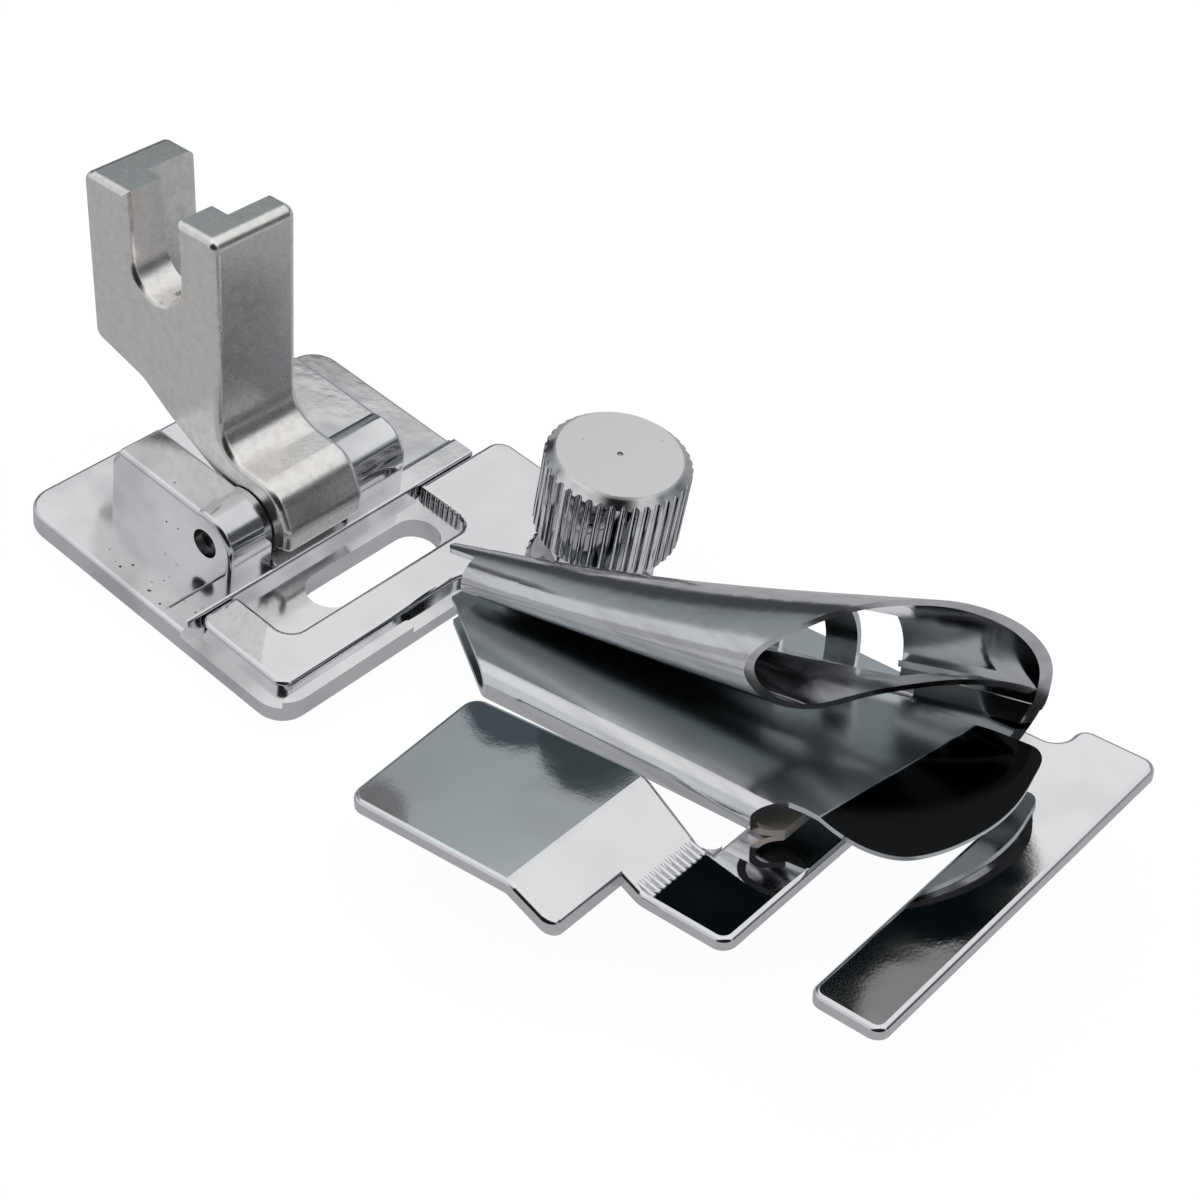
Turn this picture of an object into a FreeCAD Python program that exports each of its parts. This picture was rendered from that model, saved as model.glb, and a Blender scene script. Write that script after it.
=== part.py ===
import FreeCAD, Part
import math
import os

# Binder foot for a low shank sewing machine, millimetres.
# X points to the machine's right, +Y away from the operator, +Z up.
# The origin lies on the sole, level with the needle slot.

V = FreeCAD.Vector
X_AXIS = V(1, 0, 0)
Z_AXIS = V(0, 0, 1)

# Fits and clearances
RUNNING_FIT = 0.04
PRESS_FIT = 0.01
SIDE_PLAY = 0.10
SCREW_PLAY = 0.15
SLIDE_PLAY = 0.50

# Base casting
BASE_LEFT = -12.9
BASE_RIGHT = 12.9
BASE_FRONT = -5.8
BASE_REAR = 18.2
BASE_THICK = 2.0
BASE_CORNER = 2.0
BASE_EDGE = 0.3
TOE_RADIUS = 0.7
FLOOR_THICK = 1.5
LIP_WIDTH = 0.75
LIP_LEFT = -12.3
LIP_RIGHT = -1.5
LEDGE_FRONT = 3.1
LEDGE_REAR = 4.8
LEDGE_RISE = 0.4
LEDGE_COVE = 0.5

# Needle slot
NEEDLE_SLOT_X = 0.87
NEEDLE_SLOT_Y = 0.25
NEEDLE_SLOT_LENGTH = 10.9
NEEDLE_SLOT_WIDTH = 3.3

# Hinge block and pin
PIN_RADIUS = 1.0
PIN_Y = 6.38
PIN_Z = 4.04
PIN_RECESS = 0.8
PIN_CHAMFER = 0.2
EAR_RADIUS = 2.3
BLOCK_LEFT = -8.1
BLOCK_RIGHT = 7.3
BLOCK_TOP = 6.2
BLOCK_REAR = 15.15
BLOCK_CHAMFER_BACK = 0.69
BLOCK_CHAMFER_DOWN = 1.18
BLOCK_EDGE = 0.35

# Shank, in its own upright frame about the pin
LEAN_BACK = 6.2
SHANK_LEFT = -4.5
SHANK_RIGHT = 2.1
WEB_THICK = 2.9
SHANK_FRONT = 2.2
SHANK_REAR = 14.0
SHANK_TOP = 18.9
FLANGE_THICK = 2.0
CHANNEL_WIDTH = 7.2
CHANNEL_FLOOR = 8.5
SCREW_SLOT_Y = 7.82
SCREW_SLOT_WIDTH = 4.47
SCREW_SLOT_BOTTOM = 12.32
SHANK_EDGE = 0.5

# Binder plate
PLATE_THICK = 0.8
PLATE_EDGE = 0.33
PLATE_LEFT = -11.6
PLATE_RIGHT = 15.6
PLATE_CORNER = 0.9
NOTCH_LEFT = -8.4
NOTCH_RIGHT = 7.7
NOTCH_FRONT = -1.7
NOTCH_CORNER = 1.2
SERRATION_PITCH = 0.42
SERRATION_COUNT = 9
SERRATION_RADIUS = 0.14
NECK_LEFT = 4.6
BEND_Y = -13.0
PITCH = 12.0

# Pitched guide, measured forward from the bend line in its own plane
GUIDE_RIGHT = 15.5
RELIEF_DEPTH = 2.0
RELIEF_END = 3.0
BODY_LEFT = 0.4
FLANGE_FOOT = 18.3
ARM_REAR = 19.2
ARM_FRONT = 24.2
ARM_LEFT = -10.2
BAR_REAR = 29.5
BAR_FRONT = 34.2
TAB_REAR = 28.9
BAR_LEFT = -10.15
BAR_RIGHT = 17.9
SLOT_END = 9.0
SLOT_CORNER = 2.3

# Raised shelf and the flange that runs down to the arm
SHELF_RISE = 2.4
SHELF_LEFT_REAR = -16.6
SHELF_LEFT_FRONT = -15.9
SHELF_RIGHT_REAR = -5.3
SHELF_RIGHT_FRONT = -4.3
SHELF_REAR_LEFT = 2.2
SHELF_REAR_RIGHT = 1.4
SHELF_FRONT = 14.0
FLANGE_END = 16.9
RIDGE_COUNT = 11
RIDGE_PITCH = 0.44
RIDGE_RADIUS = 0.16

# Thumb screw
SCREW_X = 12.94
SCREW_Y = -8.52
SCREW_RADIUS = 1.5
SCREW_REACH = 0.3
COLLAR_RADIUS = 3.5
COLLAR_HEIGHT = 1.5
KNOB_RADIUS = 4.8
KNOB_FACE_RADIUS = 4.1
KNOB_HEIGHT = 6.3
KNOB_CHAMFER = 0.6
FLUTE_COUNT = 40
FLUTE_RADIUS = 0.26
CENTRE_MARK = 0.18
ADJUST_TRAVEL = 1.7
LUG_WIDTH = 7.5
LUG_FRONT = -12.0
LUG_CORNER = 2.0

# Scroll, in the guide's plane: u to the right, v forward, w up from the plate
SHEET = 0.38
REAR_V = -8.0
FRONT_V = 29.0
MOUTH_OFFSET = 14.5
TUBE_END_V = -5.4
FOLD_HEIGHT = 2.4
FOLD_REAR_U = -4.0
FOLD_FRONT_U = -2.45
RETURN_LENGTH = 4.5
TONGUE_TILT = 9.0
LOWER_TIP_TOP = FOLD_HEIGHT + 0.01
ROLL_SAG = 0.8
STATIONS = 5

PLATE_TOP = FLOOR_THICK + PLATE_THICK
GAP_LEFT = SHANK_LEFT - SIDE_PLAY
GAP_RIGHT = SHANK_RIGHT + SIDE_PLAY


def rounded(points):
    """Closed planar wire through (x, y, radius) corners, each corner rounded by its radius."""
    edges = []
    starts = []
    ends = []
    middles = []
    count = len(points)
    for i in range(count):
        x, y, r = points[i]
        here = V(x, y, 0)
        back = V(points[i - 1][0], points[i - 1][1], 0) - here
        on = V(points[(i + 1) % count][0], points[(i + 1) % count][1], 0) - here
        back.normalize()
        on.normalize()
        if r <= 0:
            starts.append(here)
            ends.append(here)
            middles.append(None)
            continue
        half = back.getAngle(on) / 2
        reach = r / math.tan(half)
        bisector = back + on
        bisector.normalize()
        centre = here + bisector * (r / math.sin(half))
        starts.append(here + back * reach)
        ends.append(here + on * reach)
        middles.append(centre - bisector * r)
    for i in range(count):
        if middles[i] is not None:
            edges.append(Part.Arc(starts[i], middles[i], ends[i]).toShape())
        following = starts[(i + 1) % count]
        if (following - ends[i]).Length > 1e-6:
            edges.append(Part.makeLine(ends[i], following))
    return Part.Wire(edges)


def prism(points, bottom, top):
    """Solid between two heights over a rounded outline."""
    face = Part.Face(rounded(points))
    face.translate(V(0, 0, bottom))
    return face.extrude(V(0, 0, top - bottom))


def across(points, left, right):
    """Solid between two X planes over a rounded outline given as (y, z, radius)."""
    face = Part.Face(rounded(points))
    face.rotate(V(0, 0, 0), V(1, 1, 1), 120)
    face.translate(V(left, 0, 0))
    return face.extrude(V(right - left, 0, 0))


def slot(centre_x, centre_y, length, width, bottom, top):
    """Prism of an obround that lies along X."""
    half = length / 2
    wide = width / 2
    points = [
        (centre_x - half, centre_y - wide, wide),
        (centre_x + half, centre_y - wide, wide),
        (centre_x + half, centre_y + wide, wide),
        (centre_x - half, centre_y + wide, wide),
    ]
    return prism(points, bottom, top)


def fuse(shapes):
    """One solid from several, with coplanar faces merged."""
    result = shapes[0].multiFuse(shapes[1:])
    return result.removeSplitter()


def soften(shape, edges, radius):
    """Fillet the edges; where the whole set fails, keep those that can be rounded together."""
    try:
        return shape.makeFillet(radius, edges)
    except Part.OCCError:
        kept = []
        result = shape
    for edge in edges:
        try:
            result = shape.makeFillet(radius, kept + [edge])
            kept.append(edge)
        except Part.OCCError:
            continue
    return result


def edges_where(shape, test):
    """Edges of a shape that pass a test."""
    return [edge for edge in shape.Edges if test(edge)]


def rims_at(shape, x):
    """Edges that lie in one upright plane across the part."""
    return edges_where(shape, lambda e: abs(e.BoundBox.XMin - x) < 0.01 and e.BoundBox.XLength < 0.01)


def guide_frame():
    """Placement of the guide's own plane: x to the right, -y forward, z up from the sheet."""
    return FreeCAD.Placement(V(0, BEND_Y, PLATE_TOP), FreeCAD.Rotation(X_AXIS, -PITCH))


def in_guide(shape):
    """Move a shape modelled in the guide's plane into the part's frame."""
    moved = shape.copy()
    moved.Placement = guide_frame().multiply(moved.Placement)
    return moved


def make_base():
    corner = BASE_CORNER
    plate = prism(
        [
            (BASE_LEFT, BASE_FRONT, corner),
            (BASE_RIGHT, BASE_FRONT, corner),
            (BASE_RIGHT, BASE_REAR, corner),
            (BASE_LEFT, BASE_REAR, corner),
        ],
        0,
        BASE_THICK,
    )
    rims = edges_where(plate, lambda e: e.BoundBox.ZMin > BASE_THICK - 0.01)
    plate = plate.makeFillet(BASE_EDGE, rims)

    # The recess the binder plate slides in, open at both sides
    recess = prism(
        [
            (BASE_LEFT - 1, BASE_FRONT - 1, 0),
            (BASE_RIGHT + 1, BASE_FRONT - 1, 0),
            (BASE_RIGHT + 1, LEDGE_FRONT, 0),
            (BASE_LEFT - 1, LEDGE_FRONT, 0),
        ],
        FLOOR_THICK,
        BASE_THICK + 1,
    )
    plate = plate.cut(recess)

    # The front toe curves up from the sole
    toe = edges_where(
        plate,
        lambda e: e.BoundBox.ZMax < 0.01 and e.BoundBox.YMax < BASE_FRONT + corner + 0.01 and e.Length < 60,
    )
    plate = soften(plate, toe, TOE_RADIUS)
    lip = prism(
        [
            (LIP_LEFT, BASE_FRONT, 0.3),
            (LIP_RIGHT, BASE_FRONT, LIP_WIDTH * 0.45),
            (LIP_RIGHT, BASE_FRONT + LIP_WIDTH, LIP_WIDTH * 0.45),
            (LIP_LEFT, BASE_FRONT + LIP_WIDTH, 0.3),
        ],
        FLOOR_THICK - 0.1,
        BASE_THICK,
    )
    lip = lip.common(prism(
        [
            (BASE_LEFT, BASE_FRONT, corner),
            (BASE_RIGHT, BASE_FRONT, corner),
            (BASE_RIGHT, BASE_REAR, corner),
            (BASE_LEFT, BASE_REAR, corner),
        ],
        0,
        BASE_THICK,
    ))
    lip = soften(lip, edges_where(lip, lambda e: e.BoundBox.ZMin > BASE_THICK - 0.01), 0.25)

    # The ledge that stops the binder plate at the back
    cove = LEDGE_COVE
    ledge_top = BASE_THICK + LEDGE_RISE
    ledge = across(
        [
            (LEDGE_FRONT, FLOOR_THICK - 0.1, 0),
            (LEDGE_REAR + cove, FLOOR_THICK - 0.1, 0),
            (LEDGE_REAR + cove, BASE_THICK, 0),
            (LEDGE_REAR, BASE_THICK, cove * 0.9),
            (LEDGE_REAR, ledge_top, 0.15),
            (LEDGE_FRONT, ledge_top, 0.2),
        ],
        BASE_LEFT + 0.6,
        BASE_RIGHT,
    )

    # Hinge block with barrel noses around the pin
    block = across(
        [
            (PIN_Y, BASE_THICK - 0.5, 0),
            (BLOCK_REAR, BASE_THICK - 0.5, 0),
            (BLOCK_REAR, BLOCK_TOP - BLOCK_CHAMFER_DOWN, 0.2),
            (BLOCK_REAR - BLOCK_CHAMFER_BACK, BLOCK_TOP, 0.2),
            (PIN_Y, BLOCK_TOP, 0),
        ],
        BLOCK_LEFT,
        BLOCK_RIGHT,
    )
    barrel = Part.makeCylinder(
        EAR_RADIUS, BLOCK_RIGHT - BLOCK_LEFT, V(BLOCK_LEFT, PIN_Y, PIN_Z), X_AXIS
    )
    skirt = across(
        [
            (PIN_Y - EAR_RADIUS, BASE_THICK - 0.5, 0),
            (PIN_Y + 1, BASE_THICK - 0.5, 0),
            (PIN_Y + 1, PIN_Z, 0),
            (PIN_Y - EAR_RADIUS, PIN_Z, 0),
        ],
        BLOCK_LEFT,
        BLOCK_RIGHT,
    )
    block = fuse([block, barrel, skirt])
    gap = across(
        [
            (LEDGE_FRONT, BASE_THICK, 0),
            (BLOCK_REAR + 1, BASE_THICK, 0),
            (BLOCK_REAR + 1, BLOCK_TOP + 2, 0),
            (LEDGE_FRONT, BLOCK_TOP + 2, 0),
        ],
        GAP_LEFT,
        GAP_RIGHT,
    )
    block = block.cut(gap)
    rims = edges_where(
        block,
        lambda e: e.BoundBox.ZMin > BLOCK_TOP - BLOCK_CHAMFER_DOWN - 0.3
        and e.BoundBox.XLength < 0.01
        and e.BoundBox.YMin > PIN_Y - 0.1,
    )
    block = soften(block, rims, BLOCK_EDGE)

    # Lug under the binder plate that carries the screw thread
    lug = prism(
        [
            (SCREW_X - LUG_WIDTH * 0.62, BASE_FRONT + 3, 0),
            (SCREW_X - LUG_WIDTH * 0.62, LUG_FRONT, LUG_CORNER),
            (SCREW_X + LUG_WIDTH * 0.38, LUG_FRONT, LUG_CORNER),
            (SCREW_X + LUG_WIDTH * 0.38, BASE_FRONT - 0.5, LUG_CORNER),
            (BASE_RIGHT, BASE_FRONT + 3, 0),
        ],
        0,
        FLOOR_THICK,
    )

    base = fuse([plate, lip, ledge, block, lug])
    base = base.cut(
        slot(NEEDLE_SLOT_X, NEEDLE_SLOT_Y, NEEDLE_SLOT_LENGTH, NEEDLE_SLOT_WIDTH, -1, FLOOR_THICK + 1)
    )
    base = base.cut(
        Part.makeCylinder(
            PIN_RADIUS + PRESS_FIT, BLOCK_RIGHT - BLOCK_LEFT + 2, V(BLOCK_LEFT - 1, PIN_Y, PIN_Z), X_AXIS
        )
    )
    base = base.cut(
        Part.makeCylinder(SCREW_RADIUS + RUNNING_FIT, FLOOR_THICK + 2, V(SCREW_X, SCREW_Y, -1), Z_AXIS)
    )
    return base


def make_hinge_pin():
    length = BLOCK_RIGHT - BLOCK_LEFT - 2 * PIN_RECESS
    pin = Part.makeCylinder(PIN_RADIUS, length, V(BLOCK_LEFT + PIN_RECESS, PIN_Y, PIN_Z), X_AXIS)
    ends = edges_where(pin, lambda e: e.BoundBox.XLength < 0.01)
    return pin.makeChamfer(PIN_CHAMFER, ends)


def make_shank():
    # Side outline, front at the left, from the top down the front to the nose and back up the heel
    outline = [
        (SHANK_FRONT, SHANK_TOP, 0.7),
        (SHANK_FRONT + 0.25, 3.8, 2.3),
        (-2.5, 3.3, 2.1),
        (-3.65, 0.6, 1.5),
        (-3.55, -0.9, 0.4),
        (-1.5, -1.45, 0.6),
        (1.2, -1.45, 0.9),
        (2.6, 1.6, 1.2),
        (7.1, 4.0, 1.5),
        (9.6, 5.75, 3.0),
        (SHANK_REAR, 7.05, 0.8),
        (SHANK_REAR, SHANK_TOP, 0.7),
    ]
    web_right = SHANK_LEFT + WEB_THICK
    body = across(outline, SHANK_LEFT, SHANK_RIGHT)
    body = soften(body, rims_at(body, SHANK_RIGHT), SHANK_EDGE)
    channel = across(
        [
            (SHANK_FRONT + FLANGE_THICK, CHANNEL_FLOOR, 0.5),
            (SHANK_FRONT + FLANGE_THICK + CHANNEL_WIDTH, CHANNEL_FLOOR, 0.5),
            (SHANK_FRONT + FLANGE_THICK + CHANNEL_WIDTH, SHANK_TOP + 2, 0),
            (SHANK_FRONT + FLANGE_THICK, SHANK_TOP + 2, 0),
        ],
        web_right,
        SHANK_RIGHT + 2,
    )
    half = SCREW_SLOT_WIDTH / 2
    open_slot = across(
        [
            (SCREW_SLOT_Y - half, SCREW_SLOT_BOTTOM, half),
            (SCREW_SLOT_Y + half, SCREW_SLOT_BOTTOM, half),
            (SCREW_SLOT_Y + half, SHANK_TOP + 2, 0),
            (SCREW_SLOT_Y - half, SHANK_TOP + 2, 0),
        ],
        SHANK_LEFT - 1,
        web_right + 1,
    )
    body = body.cut(channel).cut(open_slot)
    body = soften(body, rims_at(body, SHANK_LEFT), SHANK_EDGE)
    body = body.cut(Part.makeCylinder(PIN_RADIUS + RUNNING_FIT, 12, V(SHANK_LEFT - 2, 0, 0), X_AXIS))
    body.rotate(V(0, 0, 0), X_AXIS, -LEAN_BACK)
    body.translate(V(0, PIN_Y, PIN_Z))
    return body


def rounded_top(shape, top, skip=None):
    """Round the upper cut edges of a flat sheet that lies below one height, but for skipped ones."""
    rims = []
    for edge in shape.Edges:
        box = edge.BoundBox
        if box.ZMin > top - 0.01 and not (skip and skip(box)):
            rims.append(edge)
    return soften(shape, rims, PLATE_EDGE)


def make_slider():
    """Level part of the sheet, with the notch that leaves the needle slot free."""
    front = BASE_FRONT + LIP_WIDTH + SLIDE_PLAY
    rear = LEDGE_FRONT - 0.05
    slider = prism(
        [
            (PLATE_LEFT, front, PLATE_CORNER),
            (NECK_LEFT, front, 1.5),
            (NECK_LEFT, BEND_Y, 0),
            (GUIDE_RIGHT - RELIEF_DEPTH, BEND_Y, 0),
            (GUIDE_RIGHT - RELIEF_DEPTH, BEND_Y + 1.2, 0.5),
            (PLATE_RIGHT, BEND_Y + 1.2, 0.8),
            (PLATE_RIGHT, rear, 1.2),
            (NOTCH_RIGHT, rear, 0.3),
            (NOTCH_RIGHT, NOTCH_FRONT, NOTCH_CORNER),
            (NOTCH_LEFT, NOTCH_FRONT, NOTCH_CORNER),
            (NOTCH_LEFT, rear, 0.3),
            (PLATE_LEFT, rear, PLATE_CORNER),
        ],
        FLOOR_THICK,
        PLATE_TOP,
    )
    half_slot = SCREW_RADIUS + SCREW_PLAY
    slot_left = SCREW_X - half_slot - ADJUST_TRAVEL
    adjusting_slot = prism(
        [
            (slot_left, SCREW_Y - half_slot, half_slot),
            (PLATE_RIGHT + 5, SCREW_Y - half_slot, 0),
            (PLATE_RIGHT + 5, SCREW_Y + half_slot, 0),
            (slot_left, SCREW_Y + half_slot, half_slot),
        ],
        0,
        PLATE_TOP + 1,
    )
    slider = rounded_top(slider, PLATE_TOP, lambda box: box.YMax < BEND_Y + 0.01)
    slider = slider.cut(adjusting_slot)

    # Punched serration on the notch's right wall
    teeth = []
    for i in range(SERRATION_COUNT):
        y = NOTCH_FRONT + NOTCH_CORNER + i * SERRATION_PITCH
        foot = V(NOTCH_RIGHT, y, FLOOR_THICK - 1)
        teeth.append(Part.makeCylinder(SERRATION_RADIUS, PLATE_THICK + 2, foot))
    return slider.cut(Part.makeCompound(teeth))


def make_guide():
    """Pitched part of the sheet, in its own plane: body, arm and long bar."""
    slot_corner = min(SLOT_CORNER, 0.45 * (BAR_REAR - ARM_FRONT))
    guide = prism(
        [
            (NECK_LEFT, 0, 0),
            (NECK_LEFT, -1.6, 1.2),
            (BODY_LEFT, -1.6, 1.2),
            (BODY_LEFT, -ARM_REAR, 1.2),
            (ARM_LEFT, -ARM_REAR, 0),
            (ARM_LEFT, -ARM_FRONT, 0.9),
            (SLOT_END, -ARM_FRONT, slot_corner),
            (SLOT_END, -BAR_REAR, slot_corner),
            (BAR_LEFT, -BAR_REAR, 0.8),
            (BAR_LEFT, -BAR_FRONT, 0.8),
            (BAR_RIGHT, -BAR_FRONT, 1.0),
            (BAR_RIGHT, -TAB_REAR, 0.9),
            (GUIDE_RIGHT, -TAB_REAR, 1.2),
            (GUIDE_RIGHT, -RELIEF_END, 0.9),
            (GUIDE_RIGHT - RELIEF_DEPTH, -RELIEF_END, 0.5),
            (GUIDE_RIGHT - RELIEF_DEPTH, 0, 0),
        ],
        -PLATE_THICK,
        0,
    )
    return rounded_top(
        guide,
        0,
        lambda box: box.YMin > -0.01 or (box.YLength < 0.01 and abs(box.YMin + ARM_REAR) < 0.01),
    )


def make_shelf():
    """Raised shelf with the flange that slopes down and runs into the arm, in the guide's plane."""
    fall = SHELF_RISE / (FLANGE_FOOT - SHELF_FRONT)
    slope = math.atan(fall)
    half_bend = PLATE_THICK * math.tan(slope / 2)
    wave = across(
        [
            (0, SHELF_RISE, 0),
            (-SHELF_FRONT, SHELF_RISE, 1.4),
            (-FLANGE_FOOT, 0, 0.6),
            (-ARM_REAR - 0.4, 0, 0),
            (-ARM_REAR - 0.4, -PLATE_THICK, 0),
            (-FLANGE_FOOT + half_bend, -PLATE_THICK, 0.6 + PLATE_THICK),
            (-SHELF_FRONT + half_bend, SHELF_RISE - PLATE_THICK, 0.4),
            (0, SHELF_RISE - PLATE_THICK, 0),
        ],
        -30,
        10,
    )
    shelf_outline = prism(
        [
            (SHELF_LEFT_REAR, -SHELF_REAR_LEFT, 1.1),
            (SHELF_RIGHT_REAR, -SHELF_REAR_RIGHT, 1.1),
            (SHELF_RIGHT_FRONT, -SHELF_FRONT + 1.0, 0.8),
            (SHELF_RIGHT_REAR + 0.3, -FLANGE_FOOT - 0.5, 0),
            (SHELF_RIGHT_REAR + 0.3, -ARM_REAR - 0.4, 0),
            (ARM_LEFT, -ARM_REAR - 0.4, 0),
            (ARM_LEFT, -FLANGE_END, 0),
            (SHELF_LEFT_FRONT, -FLANGE_END, 0.9),
        ],
        -PLATE_THICK - 1,
        SHELF_RISE + 1,
    )
    shelf = wave.common(shelf_outline).Solids[0]
    rims = []
    for edge in shelf.Edges:
        faces = shelf.ancestorsOfType(edge, Part.Face)
        middle = edge.valueAt((edge.FirstParameter + edge.LastParameter) / 2)
        facing = [face.normalAt(*face.Surface.parameter(middle)).z for face in faces]
        at_arm = middle.y < -ARM_REAR - 0.39
        if len(facing) == 2 and max(facing) > 0.7 and abs(min(facing)) < 0.3 and not at_arm:
            rims.append(edge)
    return soften(shelf, rims, PLATE_EDGE)


def make_binder_plate():
    slider = make_slider()
    lean = math.radians(PITCH)
    wedge = across(
        [
            (BEND_Y, PLATE_TOP, 0),
            (BEND_Y, FLOOR_THICK, 0),
            (BEND_Y - PLATE_THICK * math.sin(lean), PLATE_TOP - PLATE_THICK * math.cos(lean), 0),
        ],
        NECK_LEFT,
        GUIDE_RIGHT - RELIEF_DEPTH,
    )
    ridges = []
    for i in range(RIDGE_COUNT):
        x = ARM_LEFT + 0.5 + i * RIDGE_PITCH
        ridges.append(
            Part.makeCylinder(RIDGE_RADIUS, 1.2, V(x, -FLANGE_FOOT + 0.6, 0.24), V(0, -1, -0.26))
        )
    corner = Part.makeBox(0.8, 0.8, PLATE_THICK, V(SHELF_RIGHT_REAR + 0.3, -ARM_REAR, -PLATE_THICK))
    round_cut = Part.makeCylinder(
        0.8, PLATE_THICK, V(SHELF_RIGHT_REAR + 1.1, -ARM_REAR + 0.8, -PLATE_THICK), Z_AXIS
    )
    pitched = make_guide().multiFuse([make_shelf(), corner.cut(round_cut)] + ridges)
    return slider.multiFuse([wedge, in_guide(pitched)])


# Scroll section. Each row gives a point of the sheet's middle line at the narrow end and at the
# mouth: (u, w) at the rear, then (u, w) where it meets the oblique mouth.
ROLL = [
    ((2.95, 2.75), (13.28, 4.80)),
    ((2.60, 2.66), (12.20, 5.40)),
    ((2.20, 2.62), (10.30, 5.80)),
    ((1.80, 2.63), (8.10, 5.60)),
    ((1.45, 2.68), (6.30, 5.15)),
    ((1.15, 2.85), (4.40, 4.55)),
    ((0.98, 3.10), (3.10, 4.95)),
    ((0.92, 3.40), (2.20, 6.00)),
    ((1.00, 3.80), (1.75, 7.95)),
    ((1.20, 4.15), (2.20, 9.00)),
    ((1.50, 4.42), (3.05, 9.80)),
    ((1.90, 4.58), (4.55, 10.80)),
    ((2.30, 4.62), (6.05, 11.40)),
    ((2.70, 4.58), (7.75, 11.65)),
    ((3.05, 4.42), (9.50, 11.45)),
    ((3.35, 4.15), (10.80, 10.85)),
    ((3.55, 3.80), (12.10, 9.80)),
    ((3.65, 3.40), (13.20, 8.20)),
    ((3.65, 2.90), (13.75, 6.40)),
    ((3.55, 2.45), (13.75, 4.90)),
    ((3.30, 2.12), (13.55, 3.55)),
    ((2.85, 1.95), (12.80, 2.50)),
    ((2.30, 1.90), (11.40, 2.19)),
]

# Opening behind the mouth rim, where the inner lip is cut back from the wall
LIP_RIM = 0.9
LIP_CUT = [(2.2, -6.0), (6.6, 14.0), (8.6, 21.7)]

# The narrow end's tongue, the windows and the bent front tongue, as (u, v) spots
TAIL = [(2.2, -4.0), (2.2, -7.9), (3.5, -7.9), (3.5, -4.0)]
LOWER_TIP = (1.2, -6.6)
LOWER_REAR = (-4.6, 2.2)
WINDOWS = [(12.9, 15.6, 6.3), (17.5, 20.2, 8.2)]
WINDOW_SILL = 2.9
WINDOW_REACH = 1.6

# Middle line of the right wall in plan
WALL_REAR = (3.65, REAR_V)
WALL_FRONT = (13.75, 13.75 + MOUTH_OFFSET)
WALL_LEAN = (WALL_FRONT[0] - WALL_REAR[0]) / (WALL_FRONT[1] - WALL_REAR[1])
SLIT = [(10.7, 21.3), (11.3, 25.5), (11.4, 29.5), (16.0, 29.5), (16.0, 21.3)]
SLIT_TOP = 3.4

# Front foot of the wall that stands on the plate: (offset from the wall's line, w)
WALL_FOOT = [(-0.15, 3.9), (-0.22, 3.4), (-0.38, 2.6), (-0.66, 1.46), (-1.05, 0.0)]
FOLD_MOUTH = [(-2.7, 20.0), (-1.1, 21.4), (-0.95, 22.4)]
RETURN_FRONT_V = 21.3
CREASE_LEFT = (-0.95, 23.4)
CREASE_RIGHT = (11.3, 25.5)
TONGUE_RIM = [
    (12.72, 0.44),
    (13.29, 1.50),
    (13.80, 2.62),
    (14.05, 3.45),
    (13.70, 4.10),
    (12.80, 4.58),
    (11.55, 5.12),
    (9.85, 5.69),
    (8.17, 5.98),
    (6.53, 6.01),
    (5.06, 5.88),
    (3.16, 5.44),
    (1.86, 4.80),
    (0.79, 3.55),
    (0.17, 1.81),
]


def fold_left(v):
    """Left limit of the lower fold at one distance forward."""
    return FOLD_REAR_U + (FOLD_FRONT_U - FOLD_REAR_U) * (v - REAR_V) / (FRONT_V - REAR_V)


def station(v):
    """Middle line of the roll, the wall and the lower sheet at one distance forward, as (u, w)."""
    points = []
    lowest = min(mouth_w for _, (_, mouth_w) in ROLL[:-4])
    highest = max(mouth_w for _, (_, mouth_w) in ROLL)
    for (rear_u, rear_w), (mouth_u, mouth_w) in ROLL:
        share = (v - REAR_V) / (mouth_u + MOUTH_OFFSET - REAR_V)
        inside = min(max(share, 0.0), 1.0)
        height = max(mouth_w - lowest, 0.0) / (highest - lowest)
        sag = ROLL_SAG * height * 4 * inside * (1 - inside)
        points.append((rear_u + (mouth_u - rear_u) * share, rear_w + (mouth_w - rear_w) * share - sag))
    right, right_w = points[-1]
    left = fold_left(v) + FOLD_HEIGHT / 2
    top = FOLD_HEIGHT - SHEET / 2
    for i in range(1, 6):
        step = i / 5
        ease = step * step * (3 - 2 * step)
        points.append((right + (left - right) * step, right_w + (top - right_w) * ease))
    return points


def shared_parameters(first, second):
    """Curve parameters for two point rows of equal count, from their mean spacing."""
    lengths = [0.0]
    for i in range(1, len(first)):
        one = math.dist(first[i], first[i - 1])
        two = math.dist(second[i], second[i - 1])
        lengths.append(lengths[-1] + (one + two) / 2)
    return [length / lengths[-1] for length in lengths]


def both_faces(points, v, parameters):
    """Points of both faces of the sheet at one station, each half a sheet off the middle line."""
    curve = Part.BSplineCurve()
    curve.interpolate(Points=[V(u, -v, w) for u, w in points], Parameters=parameters)
    outer = []
    inner = []
    for p in parameters:
        tangent = curve.getD1(p)[1]
        normal = V(tangent.z, 0, -tangent.x)
        if p == 1.0:
            normal = V(0, 0, 1)
        normal.normalize()
        spot = curve.value(p)
        outer.append(spot + normal * (SHEET / 2))
        inner.append(spot - normal * (SHEET / 2))
    return outer, inner


def smooth(points, parameters):
    """Edge through the points with the given parameters."""
    curve = Part.BSplineCurve()
    curve.interpolate(Points=points, Parameters=parameters)
    return curve.toShape()


def through(points):
    """Edge through the points, evenly smooth."""
    curve = Part.BSplineCurve()
    curve.interpolate(points)
    return curve.toShape()


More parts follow.
